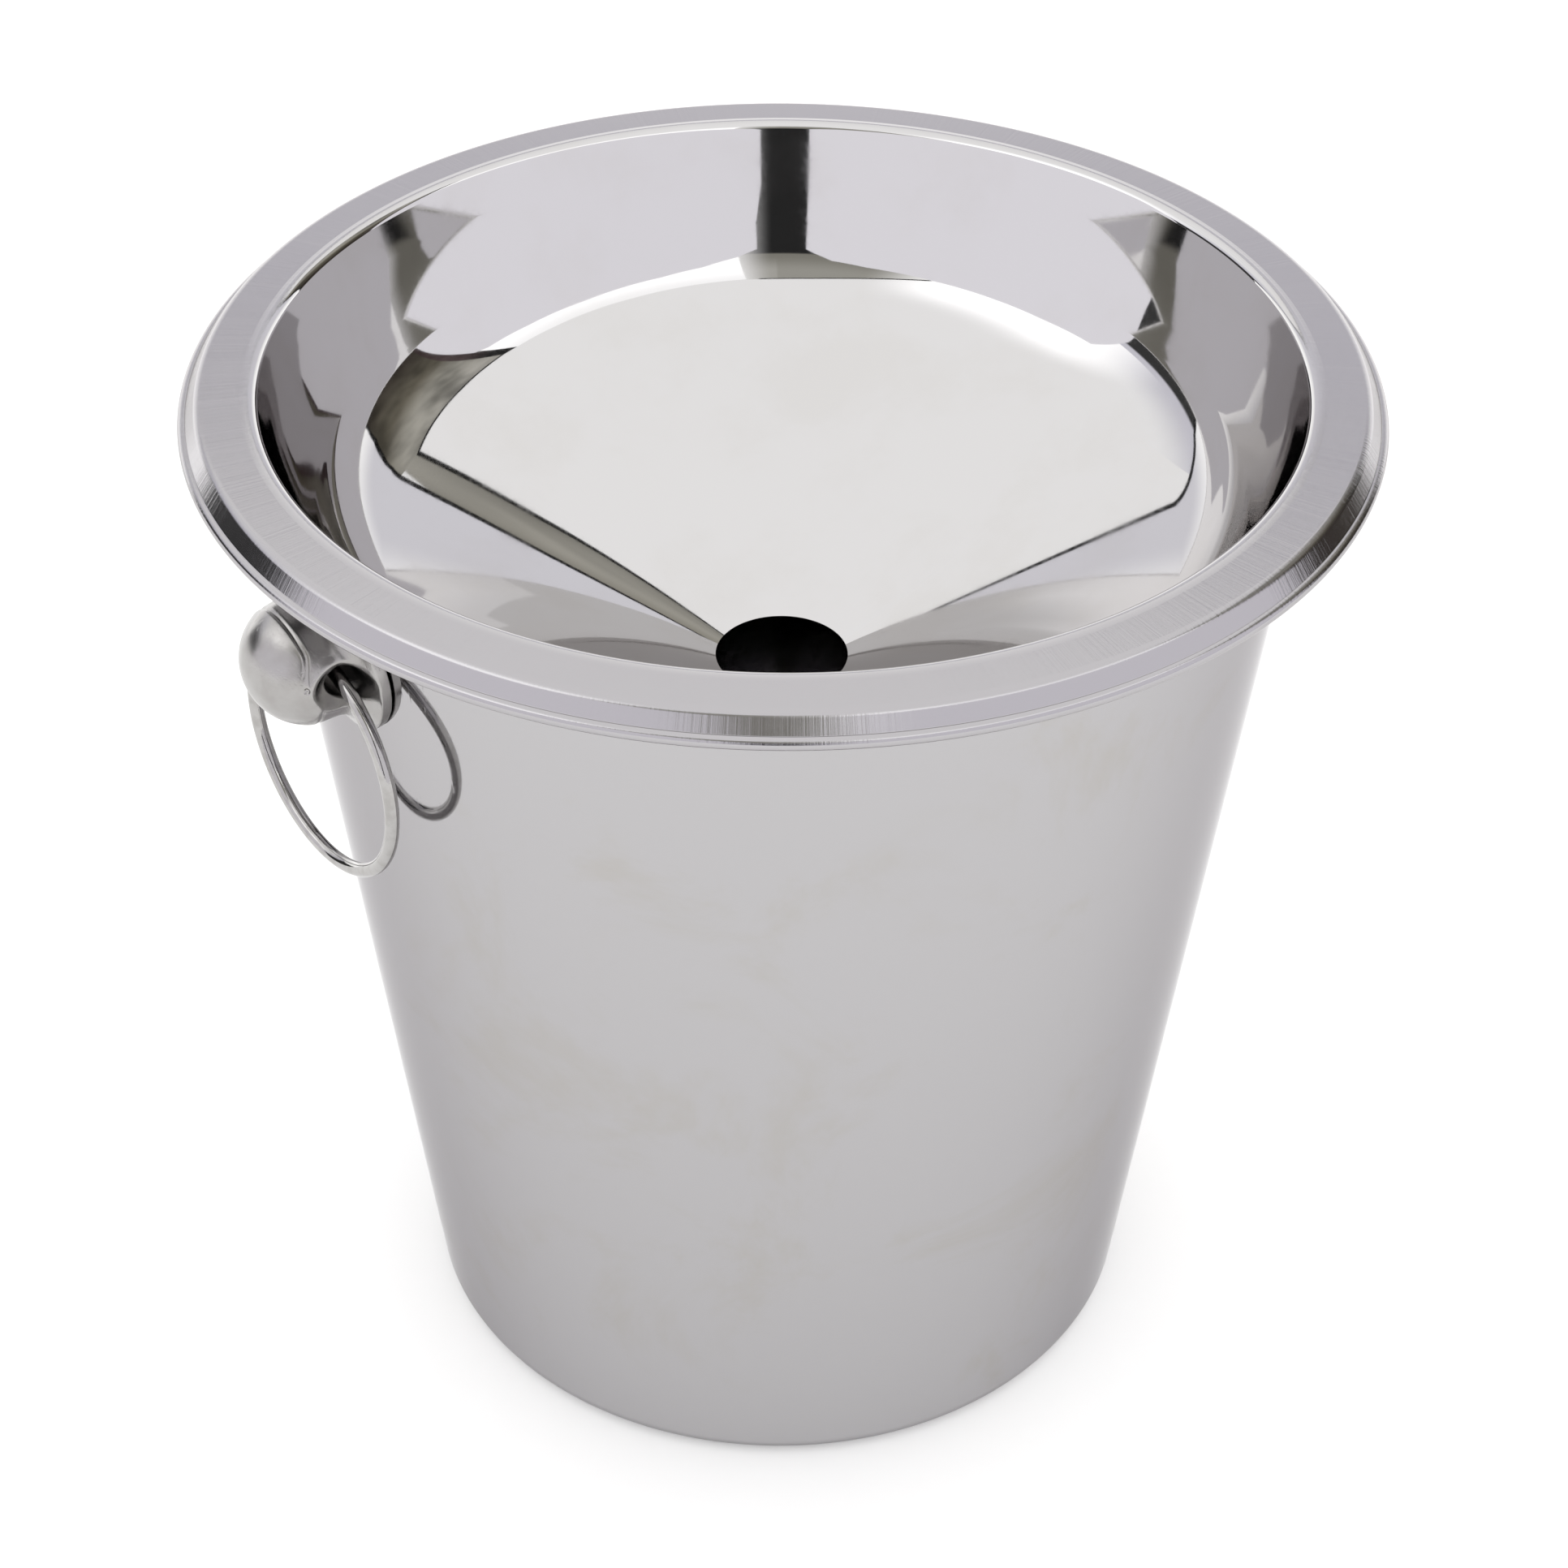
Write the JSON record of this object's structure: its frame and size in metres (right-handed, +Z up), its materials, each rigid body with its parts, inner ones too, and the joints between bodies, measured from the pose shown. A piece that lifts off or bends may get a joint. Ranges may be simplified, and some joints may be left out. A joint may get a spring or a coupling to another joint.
{
  "type": "wine bucket with spittoon funnel",
  "caption": "Tapered polished steel wine bucket with a rolled rim, a lift-off dished spittoon funnel with a central drain, and a swinging ring handle on a cast knob each side.",
  "frame": {"origin": "middle of the base, on the surface that the bucket stands on", "axes": "+Z up along the bucket's axis, +X through the right-hand handle, handles on -X and +X"},
  "size_m": [0.225, 0.22, 0.2095],
  "materials": {
    "bucket_steel": "mirror-polished stainless steel",
    "funnel_steel": "mirror-polished stainless steel",
    "cast_steel": "satin tumbled cast stainless steel",
    "ring_steel": "polished stainless steel wire"
  },
  "bodies": {
    "bucket": {"bucket_body": "bucket_steel", "handle_knob_left": "cast_steel", "handle_knob_right": "cast_steel"},
    "funnel": {"spittoon_funnel": "funnel_steel"},
    "ring_left": {"ring_handle_left": "ring_steel"},
    "ring_right": {"ring_handle_right": "ring_steel"}
  },
  "joints": [
    {"name": "funnel_lift", "type": "slide", "parent": "bucket", "child": "funnel", "axis": [0, 0, 1], "range_m": [0, 0.08]},
    {"name": "ring_left_swing", "type": "hinge", "parent": "bucket", "child": "ring_left", "pos_m": [-0.09898, 0, 0.18495], "axis": [0, 1, 0], "range_deg": [-5, 146]},
    {"name": "ring_right_swing", "type": "hinge", "parent": "bucket", "child": "ring_right", "pos_m": [0.09898, 0, 0.18495], "axis": [0, -1, 0], "range_deg": [-5, 146]}
  ]
}
